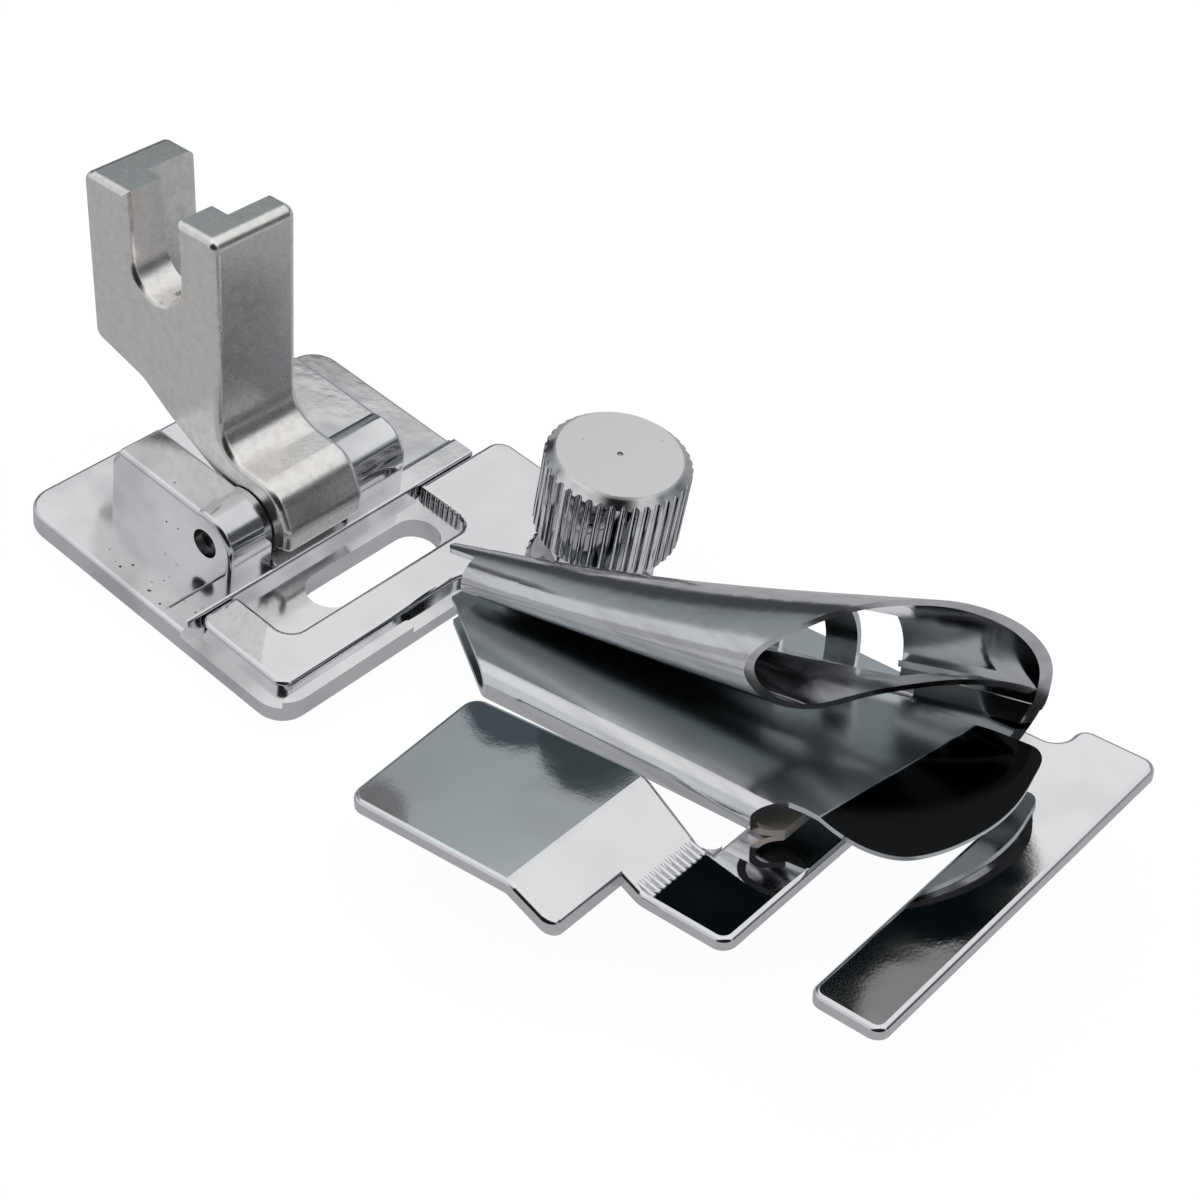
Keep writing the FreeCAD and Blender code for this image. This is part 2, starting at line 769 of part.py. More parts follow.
def fold_arc(v, radius):
    """Half circle of the lower fold, from its top round the left to its foot."""
    centre = V(fold_left(v) + FOLD_HEIGHT / 2, -v, FOLD_HEIGHT / 2)
    return Part.Arc(
        centre + V(0, 0, radius), centre + V(-radius, 0, 0), centre + V(0, 0, -radius)
    ).toShape()


def sheet_section(v, parameters):
    """Closed outline of the sheet's section at one distance forward."""
    upper, lower = both_faces(station(v), v, parameters)
    foot = fold_left(v) + FOLD_HEIGHT / 2
    end = foot + RETURN_LENGTH
    back = [1 - p for p in reversed(parameters)]
    edges = [
        smooth(upper, parameters),
        fold_arc(v, FOLD_HEIGHT / 2),
        Part.makeLine(V(foot, -v, 0), V(end, -v, 0)),
        Part.makeLine(V(end, -v, 0), V(end, -v, SHEET)),
        Part.makeLine(V(end, -v, SHEET), V(foot, -v, SHEET)),
        fold_arc(v, FOLD_HEIGHT / 2 - SHEET),
        smooth(list(reversed(lower)), back),
        Part.makeLine(lower[0], upper[0]),
    ]
    return Part.Wire(edges)


def rolled_sheet():
    """The scroll's whole sheet between two stations, before it is cut to shape."""
    parameters = shared_parameters(station(REAR_V), station(FRONT_V))
    sections = []
    for i in range(STATIONS):
        v = REAR_V + (FRONT_V - REAR_V) * i / (STATIONS - 1)
        sections.append(sheet_section(v, parameters))
    return Part.makeLoft(sections, True, False)


def plan_cut(spots, bottom, top, radius=0.0):
    """Prism over (u, v) spots between two heights above the plate."""
    return prism([(u, -v, radius) for u, v in spots], bottom, top)


def make_front_tongue():
    """Bent end of the lower sheet, flat beyond its crease."""
    left = V(CREASE_LEFT[0], -CREASE_LEFT[1], FOLD_HEIGHT)
    right = V(CREASE_RIGHT[0], -CREASE_RIGHT[1], FOLD_HEIGHT)
    along = (right - left).normalize()
    level_ahead = V(along.y, -along.x, 0)
    tilt = math.radians(TONGUE_TILT)
    ahead = level_ahead * math.cos(tilt) - Z_AXIS * math.sin(tilt)
    normal = ahead.cross(along)
    if normal.z < 0:
        normal = normal * -1
    rim = [right] + [left + along * a + ahead * f for a, f in TONGUE_RIM] + [left]
    curve = Part.BSplineCurve()
    curve.interpolate(rim)
    wire = Part.Wire([curve.toShape(), Part.makeLine(left, right)])
    face = Part.Face(wire)
    return face.extrude(normal * -SHEET)


def wall_line(v, inset):
    """Distance right of the wall's middle line at one distance forward, less an inset."""
    return WALL_REAR[0] + (v - WALL_REAR[1]) * WALL_LEAN - inset


def lip_cut():
    """Space between the inner lip's cut-back edge and the wall, behind a narrow rim at the mouth."""
    start, middle, end = LIP_CUT
    rim = MOUTH_OFFSET - LIP_RIM * math.sqrt(2)
    inset = 0.6
    corner_u = (WALL_REAR[0] - inset + (rim - WALL_REAR[1]) * WALL_LEAN) / (1 - WALL_LEAN)
    by_wall = [(corner_u, corner_u + rim), (wall_line(start[1], inset), start[1])]
    spots = [start, middle, (end[0], end[0] + rim)] + by_wall
    layer = across(
        [
            (-start[1], 3.0, 0),
            (-end[1] - 6, 7.0, 0),
            (-end[1] - 6, 3.0, 0),
            (-start[1], 2.4, 0),
        ],
        -20,
        20,
    )
    return plan_cut(spots, 2.0, 12.0).common(layer)


def make_wall_foot():
    """Front part of the wall below the slit, which runs down to the plate."""
    start = SLIT[0][1]
    half = SHEET / 2
    line = wall_line(start, 0)
    outer = [V(line + offset + half, -start, w) for offset, w in WALL_FOOT]
    inner = [V(line + offset - half, -start, w) for offset, w in reversed(WALL_FOOT)]
    ends = [Part.makeLine(outer[-1], inner[0]), Part.makeLine(inner[-1], outer[0])]
    face = Part.Face(Part.Wire([through(outer), ends[0], through(inner), ends[1]]))
    reach = 12.0
    return face.extrude(V(reach * WALL_LEAN, -reach, 0))


def make_scroll():
    sheet = rolled_sheet()
    far = 60.0
    high = 30.0
    above_lower = FOLD_HEIGHT + 0.05

    # Mouth: an oblique plane for the roll and the wall
    beyond_mouth = [(-far, MOUTH_OFFSET - far), (far, MOUTH_OFFSET + far), (-far, MOUTH_OFFSET + far)]
    mouth = plan_cut(beyond_mouth, above_lower, high)
    foot = make_wall_foot().cut(plan_cut(beyond_mouth, -1, high))
    beyond_wall = plan_cut(
        [
            (CREASE_RIGHT[0], CREASE_RIGHT[0] + MOUTH_OFFSET),
            (CREASE_RIGHT[0] + 10, CREASE_RIGHT[0] + 10 + MOUTH_OFFSET),
            (CREASE_RIGHT[0] + 10, far),
            (CREASE_RIGHT[0], far),
        ],
        -1,
        high,
    )

    # Lower sheet: ends at the crease, and its fold ends earlier on a slant
    slope = (CREASE_RIGHT[1] - CREASE_LEFT[1]) / (CREASE_RIGHT[0] - CREASE_LEFT[0])
    beyond_crease = plan_cut(
        [
            (-far, CREASE_LEFT[1] - slope * (far + CREASE_LEFT[0])),
            (CREASE_RIGHT[0] + 0.01, CREASE_RIGHT[1]),
            (CREASE_RIGHT[0] + 0.01, far),
            (-far, far),
        ],
        -1,
        SLIT_TOP,
    )
    fold_mouth = plan_cut(
        [(-far, FOLD_MOUTH[0][1] - 0.5)] + FOLD_MOUTH + [(FOLD_MOUTH[-1][0], far), (-far, far)], -1, high
    )
    under_mouth = plan_cut(
        [(-far, RETURN_FRONT_V), (far, RETURN_FRONT_V), (far, far), (-far, far)], -1, FOLD_HEIGHT / 2
    )
    slit = plan_cut(SLIT, SHEET + 0.1, SLIT_TOP)

    # Narrow end: the roll is cut square, with a rounded tail at its top, the lower sheet on a slant
    tube_end = plan_cut(
        [(-far, TUBE_END_V), (far, TUBE_END_V), (far, -far), (-far, -far)], LOWER_TIP_TOP, high
    )
    tail = plan_cut(TAIL, 4.1, high, 0.55)
    tube_end = tube_end.cut(tail)
    lower_end = plan_cut(
        [
            (LOWER_TIP[0], LOWER_TIP[1]),
            (LOWER_REAR[0], LOWER_REAR[1]),
            (-far, LOWER_REAR[1]),
            (-far, -far),
            (far, -far),
            (far, LOWER_TIP[1]),
        ],
        -1,
        LOWER_TIP_TOP,
    )
    cutters = [mouth, beyond_wall, beyond_crease, fold_mouth, under_mouth, slit, tube_end, lower_end]

    # Windows through the right wall
    for start, end, head in WINDOWS:
        inner = [(wall_line(start, WINDOW_REACH), start), (wall_line(end, WINDOW_REACH), end)]
        outer = [(wall_line(end, -2), end), (wall_line(start, -2), start)]
        cutters.append(plan_cut(inner + outer, WINDOW_SILL, head))
    for cutter in cutters:
        sheet = sheet.cut(cutter)
    sheet = sheet.cut(lip_cut())
    scroll = sheet.multiFuse([make_front_tongue(), foot])
    return in_guide(scroll.Solids[0])


def make_thumb_screw():
    collar_bottom = PLATE_TOP
    knob_bottom = collar_bottom + COLLAR_HEIGHT
    knob_top = knob_bottom + KNOB_HEIGHT
    profile = [
        V(0, 0, SCREW_REACH),
        V(SCREW_RADIUS - 0.3, 0, SCREW_REACH),
        V(SCREW_RADIUS, 0, SCREW_REACH + 0.3),
        V(SCREW_RADIUS, 0, collar_bottom),
        V(COLLAR_RADIUS, 0, collar_bottom),
        V(COLLAR_RADIUS, 0, knob_bottom),
        V(KNOB_RADIUS - 0.35, 0, knob_bottom),
        V(KNOB_RADIUS, 0, knob_bottom + 0.35),
        V(KNOB_RADIUS, 0, knob_top - KNOB_CHAMFER),
        V(KNOB_FACE_RADIUS, 0, knob_top),
        V(0, 0, knob_top),
    ]
    wire = Part.makePolygon(profile + [profile[0]])
    screw = Part.Face(wire).revolve(V(0, 0, 0), Z_AXIS, 360)
    flutes = []
    for i in range(FLUTE_COUNT):
        angle = 2 * math.pi * i / FLUTE_COUNT
        reach = KNOB_RADIUS + 0.05
        spot = V(math.cos(angle) * reach, math.sin(angle) * reach, knob_bottom - 1)
        flutes.append(Part.makeCylinder(FLUTE_RADIUS, KNOB_HEIGHT + 2, spot, Z_AXIS))
    screw = screw.cut(Part.makeCompound(flutes))
    screw = screw.cut(Part.makeSphere(CENTRE_MARK, V(0, 0, knob_top)))
    screw.translate(V(SCREW_X, SCREW_Y, 0))
    return screw


def main():
    os.makedirs("parts", exist_ok=True)
    nodes = {
        "base": make_base,
        "hinge_pin": make_hinge_pin,
        "shank": make_shank,
        "binder_plate": make_binder_plate,
        "scroll": make_scroll,
        "thumb_screw": make_thumb_screw,
    }
    for name, make in nodes.items():
        shape = make()
        shape.exportStep(os.path.join("parts", name + ".step"))


main()
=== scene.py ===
"""Looks of a low shank binder foot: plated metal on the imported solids, a light tent, the camera."""

import logging
import math
from abc import ABC, abstractmethod
from dataclasses import dataclass, replace
from enum import Enum

import bmesh
import bpy
from mathutils import Matrix, Vector

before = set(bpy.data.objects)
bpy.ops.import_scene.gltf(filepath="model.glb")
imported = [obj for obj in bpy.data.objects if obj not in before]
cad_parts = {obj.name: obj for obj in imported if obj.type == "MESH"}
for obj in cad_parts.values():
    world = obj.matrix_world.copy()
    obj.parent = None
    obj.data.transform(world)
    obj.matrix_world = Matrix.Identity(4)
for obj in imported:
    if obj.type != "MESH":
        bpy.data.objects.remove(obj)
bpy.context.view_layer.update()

log = logging.getLogger("binder_foot")
logging.basicConfig(level=logging.INFO, format="%(message)s")

MM = 0.001
SMOOTH = {"interpolation_type": "SMOOTHSTEP"}
COLOURS = {"data_type": "RGBA"}

Socket = bpy.types.NodeSocket
Tree = bpy.types.NodeTree
Triple = tuple[float, float, float]


def linear(hex_colour: str) -> tuple[float, float, float, float]:
    """Turns an sRGB hex colour into the linear colour that a shader takes.

    Args:
        hex_colour: Six hex digits with a leading hash.

    Returns:
        Red, green, blue and an alpha of one.
    """
    coded = [int(hex_colour[i : i + 2], 16) / 255 for i in (1, 3, 5)]
    colour = [c / 12.92 if c <= 0.04045 else ((c + 0.055) / 1.055) ** 2.4 for c in coded]
    return (*colour, 1.0)


def add_node(
    tree: Tree, kind: str, settings: dict | None = None, links: dict | None = None
) -> bpy.types.Node:
    """Adds one node, sets its values and links its inputs.

    Args:
        tree: The node tree of a material or of the world.
        kind: The node's type name.
        settings: Values, each by the name of a property or by the name or number of an input.
        links: Output sockets, each by the name or number of the input that it feeds.

    Returns:
        The new node.
    """
    node = tree.nodes.new(kind)
    for name, value in (settings or {}).items():
        if isinstance(name, str) and hasattr(node, name):
            setattr(node, name, value)
        else:
            node.inputs[name].default_value = value
    for name, source in (links or {}).items():
        tree.links.new(source, node.inputs[name])
    return node


class Lay(Enum):
    """Direction in which the marks of the making run, as a pattern's scale along X, Y and Z."""

    NONE = (1.0, 1.0, 1.0)
    ALONG_ROLL = (1.0, 0.045, 1.0)


@dataclass(frozen=True)
class Unevenness:
    """Lumps or patches of one real size.

    Attributes:
        size_mm: Distance between them.
        depth_mm: Height of the lumps, or zero where only colour and gloss vary.
        lay: Direction in which they are drawn out.
        detail: How many finer sizes ride on them.
    """

    size_mm: float
    depth_mm: float = 0.0
    lay: Lay = Lay.NONE
    detail: float = 2.0

    def pattern(self, tree: Tree, coords: Socket) -> Socket:
        """Adds its noise.

        Args:
            tree: The material's node tree.
            coords: Object coordinates.

        Returns:
            How high it stands, from zero to one.
        """
        if self.lay is not Lay.NONE:
            settings = {"Scale": self.lay.value}
            coords = add_node(tree, "ShaderNodeMapping", settings, {"Vector": coords}).outputs[0]
        settings = {"Scale": 1 / (self.size_mm * MM), "Detail": self.detail}
        return add_node(tree, "ShaderNodeTexNoise", settings, {"Vector": coords}).outputs["Fac"]


@dataclass(frozen=True)
class Area:
    """Round part of a surface, with a ragged edge.

    Attributes:
        centre_mm: Its middle.
        reach_mm: Its half size along X, Y and Z.
        ragged: How far its edge wanders, as a share of its half size.
        grit_mm: Size of the bays in its edge.
        fade: Share of its half size over which it fades out.
    """

    centre_mm: Triple
    reach_mm: Triple
    ragged: float = 0.8
    grit_mm: float = 0.8
    fade: float = 0.3

    def mask(self, tree: Tree, coords: Socket) -> Socket:
        """Finds the area.

        Args:
            tree: The material's node tree.
            coords: Object coordinates.

        Returns:
            One in the area and zero outside.
        """
        settings = {
            "vector_type": "TEXTURE",
            "Location": [c * MM for c in self.centre_mm],
            "Scale": [r * MM for r in self.reach_mm],
        }
        place = add_node(tree, "ShaderNodeMapping", settings, {"Vector": coords}).outputs[0]
        settings = {"operation": "LENGTH"}
        far = add_node(tree, "ShaderNodeVectorMath", settings, {0: place}).outputs["Value"]
        if self.ragged:
            grit = Unevenness(self.grit_mm, detail=3.0).pattern(tree, coords)
            settings = {"To Min": -self.ragged, "To Max": self.ragged}
            swing = add_node(tree, "ShaderNodeMapRange", settings, {"Value": grit})
            links = {0: far, 1: swing.outputs["Result"]}
            far = add_node(tree, "ShaderNodeMath", {"operation": "ADD"}, links).outputs[0]
        settings = SMOOTH | {"From Min": 1 + self.fade / 2, "From Max": 1 - self.fade / 2}
        return add_node(tree, "ShaderNodeMapRange", settings, {"Value": far}).outputs["Result"]


@dataclass(frozen=True)
class Side:
    """Flat boundary across a piece.

    Attributes:
        direction: Unit direction that leads past it.
        distance_mm: Where it stands that way.
        soft_mm: Width over which what lies past it fades in.
    """

    direction: Triple
    distance_mm: float
    soft_mm: float = 0.1

    def mask(self, tree: Tree, coords: Socket) -> Socket:
        """Finds what lies past it.

        Args:
            tree: The material's node tree.
            coords: Object coordinates.

        Returns:
            One past the boundary and zero before it.
        """
        settings = {"operation": "DOT_PRODUCT", 1: self.direction}
        depth = add_node(tree, "ShaderNodeVectorMath", settings, {0: coords}).outputs["Value"]
        end = (self.distance_mm + self.soft_mm) * MM
        settings = SMOOTH | {"From Min": self.distance_mm * MM, "From Max": end}
        return add_node(tree, "ShaderNodeMapRange", settings, {"Value": depth}).outputs["Result"]


@dataclass(frozen=True)
class Beyond:
    """Part of a surface past several flat boundaries at once.

    Attributes:
        sides: The boundaries.
    """

    sides: tuple[Side, ...]

    def mask(self, tree: Tree, coords: Socket) -> Socket:
        """Finds the part.

        Args:
            tree: The material's node tree.
            coords: Object coordinates.

        Returns:
            One past every boundary and zero elsewhere.
        """
        share = self.sides[0].mask(tree, coords)
        for side in self.sides[1:]:
            links = {0: share, 1: side.mask(tree, coords)}
            share = add_node(tree, "ShaderNodeMath", {"operation": "MULTIPLY"}, links).outputs[0]
        return share


@dataclass(frozen=True)
class Specks:
    """Small pits in a plated surface, each with a darker spot in it.

    Attributes:
        spacing_mm: Distance between them.
        size_mm: Radius of the largest.
        share: How many of the places have one.
        depth_mm: How deep they are.
        colour: Colour of the darker spot.
        area: Where they are, or everywhere if not given.
        smallest: Radius of the smallest, as a share of the largest.
        bottom: Radius of a pit's level bottom, as a share of its own.
    """

    spacing_mm: float
    size_mm: float
    share: float
    depth_mm: float
    colour: str
    area: Area | None = None
    smallest: float = 0.35
    bottom: float = 0.6

    def mask(self, tree: Tree, coords: Socket) -> Socket:
        """Finds the pits.

        Args:
            tree: The material's node tree.
            coords: Object coordinates.

        Returns:
            One inside a pit and zero outside.
        """
        settings = {"Scale": 1 / (self.spacing_mm * MM), "Randomness": 1.0}
        cells = add_node(tree, "ShaderNodeTexVoronoi", settings, {"Vector": coords})
        dice = add_node(tree, "ShaderNodeSeparateColor", links={0: cells.outputs["Color"]})
        links = {"Value": dice.outputs[1]}
        grown = add_node(tree, "ShaderNodeMapRange", SMOOTH | {"To Min": self.smallest}, links)
        links = {0: cells.outputs["Distance"], 1: grown.outputs["Result"]}
        far = add_node(tree, "ShaderNodeMath", {"operation": "DIVIDE"}, links).outputs[0]
        reach = self.size_mm / self.spacing_mm
        settings = SMOOTH | {"From Min": reach, "From Max": reach * self.bottom}
        pit = add_node(tree, "ShaderNodeMapRange", settings, {"Value": far}).outputs["Result"]
        settings = {"operation": "LESS_THAN", 1: self.share}
        limits = [add_node(tree, "ShaderNodeMath", settings, {0: dice.outputs[0]}).outputs[0]]
        if self.area:
            limits.append(self.area.mask(tree, coords))
        for limit in limits:
            links = {0: pit, 1: limit}
            pit = add_node(tree, "ShaderNodeMath", {"operation": "MULTIPLY"}, links).outputs[0]
        return pit


@dataclass(frozen=True)
class Zone:
    """Part of a surface with another colour and gloss.

    Attributes:
        part: Where it is.
        colour: Colour of the metal there.
        roughness: Roughness there.
    """

    part: Area | Beyond
    colour: str
    roughness: float


@dataclass(frozen=True)
class Plating:
    """A plated metal surface: colour, gloss and the marks that its making and its use left.

    Attributes:
        name: What the finish is called in the file.
        colour: Colour of the clean metal.
        handled: Colour of the metal where it is handled.
        roughness: Lowest and highest roughness.
        cloud: The patches in which colour and gloss vary.
        relief: Its unevenness, the coarse one first.
        specks: Small pits.
        zones: Parts that differ.
        gloss_span: Between which heights of the cloud the roughness rises.
        handled_span: Between which heights of the cloud the handled colour comes in.
    """

    name: str
    colour: str
    handled: str
    roughness: tuple[float, float]
    cloud: Unevenness
    relief: tuple[Unevenness, ...]
    specks: tuple[Specks, ...] = ()
    zones: tuple[Zone, ...] = ()
    gloss_span: tuple[float, float] = (0.35, 0.65)
    handled_span: tuple[float, float] = (0.4, 0.7)

    def material(self) -> bpy.types.Material:
        """Builds the node material of this finish.

        Returns:
            The material.
        """
        mat = bpy.data.materials.new(self.name)
        mat.use_nodes = True
        tree = mat.node_tree
        tree.nodes.clear()
        coords = add_node(tree, "ShaderNodeTexCoord").outputs["Object"]

        cloud = {"Value": self.cloud.pattern(tree, coords)}
        start, end = self.gloss_span
        low, high = self.roughness
        settings = SMOOTH | {"From Min": start, "From Max": end, "To Min": low, "To Max": high}
        rough = add_node(tree, "ShaderNodeMapRange", settings, cloud).outputs["Result"]
        start, end = self.handled_span
        settings = SMOOTH | {"From Min": start, "From Max": end}
        share = add_node(tree, "ShaderNodeMapRange", settings, cloud).outputs["Result"]
        settings = COLOURS | {6: linear(self.colour), 7: linear(self.handled)}
        colour = add_node(tree, "ShaderNodeMix", settings, {0: share}).outputs[2]

        for zone in self.zones:
            mask = zone.part.mask(tree, coords)
            links = {"Factor": mask, "A": rough}
            rough = add_node(tree, "ShaderNodeMix", {"B": zone.roughness}, links).outputs["Result"]
            settings = COLOURS | {7: linear(zone.colour)}
            colour = add_node(tree, "ShaderNodeMix", settings, {0: mask, 6: colour}).outputs[2]

        layers = [(lumps.pattern(tree, coords), lumps.depth_mm) for lumps in self.relief]
        for specks in self.specks:
            pit = specks.mask(tree, coords)
            settings = COLOURS | {7: linear(specks.colour)}
            colour = add_node(tree, "ShaderNodeMix", settings, {0: pit, 6: colour}).outputs[2]
            layers.append((pit, -specks.depth_mm))

        normal = {}
        for height, depth_mm in layers:
            settings = {"Strength": 1.0, "Distance": abs(depth_mm) * MM, "invert": depth_mm < 0}
            bump = add_node(tree, "ShaderNodeBump", settings, {"Height": height} | normal)
            normal = {"Normal": bump.outputs["Normal"]}
        links = {"Base Color": colour, "Roughness": rough} | normal
        shader = add_node(tree, "ShaderNodeBsdfPrincipled", {"Metallic": 1.0}, links)
        add_node(tree, "ShaderNodeOutputMaterial", links={"Surface": shader.outputs["BSDF"]})
        return mat


# Zinc casting with bright chrome: it mirrors softly, and casting pits show through the plating.
CAST_CHROME = Plating(
    name="chromed_zinc_casting",
    colour="#e2e2e4",
    handled="#cfd0d3",
    roughness=(0.09, 0.17),
    cloud=Unevenness(5.0),
    relief=(Unevenness(3.0, 0.014), Unevenness(0.45, 0.0022), Unevenness(0.15, 0.0005)),
    specks=(Specks(1.3, 0.12, 0.3, 0.02, "#6a6866"),),
)
# Nickel on tumbled cast steel: its grain scatters light, so its forms read as soft greys.
# The real grain is finer, and is drawn as coarse as the render can show.
SATIN_NICKEL = Plating(
    name="satin_nickel_steel",
    colour="#eceae8",
    handled="#e4e2e0",
    roughness=(0.22, 0.28),
    cloud=Unevenness(0.6),
    relief=(Unevenness(2.5, 0.005), Unevenness(0.3, 0.0050), Unevenness(0.12, 0.0024)),
    specks=(Specks(1.1, 0.06, 0.10, 0.02, "#a8a4a2"),),
)
# Chrome on pressed sheet: a near mirror with faint waves and a few nicks.
PRESSED_CHROME = Plating(
    name="chromed_pressed_sheet",
    colour="#e4e4e6",
    handled="#dedee0",
    roughness=(0.015, 0.045),
    cloud=Unevenness(5.0),
    relief=(Unevenness(6.0, 0.008), Unevenness(0.8, 0.0003), Unevenness(0.22, 0.0003)),
    specks=(Specks(1.8, 0.06, 0.10, 0.01, "#8a8a8c"),),
)
# Chrome on rolled sheet: satin streaks run along the roll.
ROLLED_CHROME = Plating(
    name="chromed_rolled_sheet",
    colour="#dcdddf",
    handled="#cfcfd2",
    roughness=(0.12, 0.17),
    cloud=Unevenness(1.0, lay=Lay.ALONG_ROLL),
    relief=(
        Unevenness(5.0, 0.002),
        Unevenness(0.5, 0.0020, Lay.ALONG_ROLL),
        Unevenness(0.22, 0.0006),
    ),
    specks=(Specks(1.4, 0.05, 0.12, 0.01, "#55504c"),),
)
# Chrome on a turned screw: bright, with the flutes catching light and dark side by side.
TURNED_CHROME = Plating(
    name="chromed_turned_steel",
    colour="#cfcfd1",
    handled="#bcbcbe",
    roughness=(0.05, 0.09),
    cloud=Unevenness(1.5),
    relief=(Unevenness(2.0, 0.003), Unevenness(0.3, 0.0006)),
)
# Bare turned pin, dark with oil and lint.
PIN_STEEL = Plating(
    name="oiled_turned_steel",
    colour="#6d6865",
    handled="#3c3836",
    roughness=(0.30, 0.50),
    cloud=Unevenness(1.0),
    relief=(Unevenness(1.0, 0.004), Unevenness(0.2, 0.002)),
)


class SubAssembly(ABC):
    """Pieces of the foot that share their making."""

    @abstractmethod
    def finishes(self) -> dict[str, Plating]:
        """Names the finish of each solid."""

    def dress(self) -> None:
        """Gives each solid its finish."""
        for node, finish in self.finishes().items():
            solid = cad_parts[node]
            solid.data.materials.clear()
            solid.data.materials.append(finish.material())
            log.info("%s: %s", node, finish.name)


@dataclass
class CastFoot(SubAssembly):
    """Cast sole with its ears and the pin through them.

    Attributes:
        wing_pits: Pitted part of the left wing, beside the hinge block.
        block_pits: Pitted part of the hinge block, about the pin's hole.
    """

    wing_pits: Area = Area((-11.5, 7.2, 1.8), (1.2, 3.6, 1.2), ragged=0.6, grit_mm=1.2)
    block_pits: Area = Area((-7.2, 9.2, 4.0), (1.2, 1.2, 2.4), ragged=0.5)

    def finishes(self) -> dict[str, Plating]:
        """Adds the groups of casting pits to the chrome.

        Returns:
            The finish of each solid.
        """
        pits = (
            Specks(0.5, 0.19, 0.6, 0.03, "#3a3836", self.wing_pits),
            Specks(0.6, 0.17, 0.5, 0.03, "#44403e", self.block_pits),
        )
        chrome = replace(CAST_CHROME, specks=pits + CAST_CHROME.specks)
        return {"base": chrome, "hinge_pin": PIN_STEEL}


class Shank(SubAssembly):
    """Forked shank that hangs on the pin."""

    def finishes(self) -> dict[str, Plating]:
        """Names the finish of the solid."""
        return {"shank": SATIN_NICKEL}


@dataclass
class Binder(SubAssembly):
    """Sliding guide plate with the rolled scroll on it.

    Attributes:
        under_roll: Level of the scroll's lower sheet, under the roll.
        fold_shoulder: Where the lower sheet leaves the round back of its fold.
        crease: Where the tongue bends down from the lower sheet.
        tongue_top: Level of the tongue's upper face.
        fold_mouth: Inside of the fold at its open end, where light is painted.
    """

    under_roll: Side = Side((0.0, -0.208, -0.978), -2.1)
    fold_shoulder: Side = Side((0.999, 0.042, 0.0), -3.2, 1.6)
    crease: Side = Side((-0.169, -0.964, 0.205), 36.25)
    tongue_top: Side = Side((-0.026, 0.055, 0.998), 7.50, 0.04)
    fold_mouth: Area = Area((-0.7, -32.7, 7.0), (1.9, 2.2, 0.5), ragged=0.0)

    def finishes(self) -> dict[str, Plating]:
        """Makes the lower sheet duller with painted shade, the tongue polished and painted black as a
        dark reflection, the fold's mouth matt with painted light.

        Returns:
            The finish of each solid.
        """
        zones = (
            # Painted shade: the lower sheet under the roll is darker, as well as duller
            Zone(Beyond((self.under_roll, self.fold_shoulder)), "#aeb4b6", 0.22),
            # Painted reflection: the polished tongue is painted near black, for the dark thing that
            # it mirrors
            Zone(Beyond((self.under_roll, self.crease, self.tongue_top)), "#161718", 0.10),
            # Painted light: the inside of the fold's mouth is painted pale beige, as if lit, and made
            # matt
            Zone(self.fold_mouth, "#f6ece2", 0.55),
        )
        return {"binder_plate": PRESSED_CHROME, "scroll": replace(ROLLED_CHROME, zones=zones)}


@dataclass
class ThumbScrew(SubAssembly):
    """Fluted screw that holds the guide plate.

    Attributes:
        face_mm: Middle of the knob's upper face.
        grain_mm: Half size of the grainy patch about that middle.
        dull_mm: Half size of the blasted patch, which also has painted light.
        dimple_mm: Half size of the dimple from the lathe's centre.
    """

    face_mm: Triple = (12.94, -8.52, 10.1)
    grain_mm: Triple = (4.3, 4.3, 0.4)
    dull_mm: Triple = (4.6, 4.6, 0.3)
    dimple_mm: Triple = (0.22, 0.22, 0.4)

    def finishes(self) -> dict[str, Plating]:
        """Blasts the face dull, paints light on it and marks its middle.

        Returns:
            The finish of the solid.
        """
        grainy = Area(self.face_mm, self.grain_mm, ragged=0.0)
        dull = Area(self.face_mm, self.dull_mm, ragged=0.0)
        dimple = Area(self.face_mm, self.dimple_mm, ragged=0.4, grit_mm=0.2)
        specks = (Specks(0.55, 0.06, 0.3, 0.02, "#a8a6a4", grainy),)
        # Partly painted light: the blasted face is rougher, and its lighter colour stands for the
        # bright light on it
        zones = (Zone(dull, "#e8e6e4", 0.36), Zone(dimple, "#b8b6b4", 0.4))
        return {"thumb_screw": replace(TURNED_CHROME, specks=specks, zones=zones)}


@dataclass(frozen=True)
class Card:
    """A light or dark card of the light tent, as the metal mirrors it.

    Attributes:
        azimuth: Direction of its middle, in degrees from the back toward the right.
        elevation: Height of its middle, in degrees.
        width: Half its width, in degrees.
        height: Half its height, in degrees.
        tone: Its colour.
        soft: Share of its half size over which its edge fades.
    """

    azimuth: float
    elevation: float
    width: float
    height: float
    tone: str
    soft: float

    def cover(self, tree: Tree, place: Socket) -> Socket:
        """Finds how much it covers a direction.

        Args:
            tree: The world's node tree.
            place: Azimuth and elevation, in radians.

        Returns:
            One on the card and zero off it.
        """
        settings = {
            "vector_type": "TEXTURE",
            "Location": (math.radians(self.azimuth), math.radians(self.elevation), 0),
            "Scale": (math.radians(self.width), math.radians(self.height), 1),
        }
        local = add_node(tree, "ShaderNodeMapping", settings, {"Vector": place}).outputs[0]
        settings = {"operation": "LENGTH"}
        far = add_node(tree, "ShaderNodeVectorMath", settings, {0: local}).outputs["Value"]
        settings = SMOOTH | {"From Min": 1 + self.soft / 2, "From Max": 1 - self.soft / 2}
        return add_node(tree, "ShaderNodeMapRange", settings, {"Value": far}).outputs["Result"]


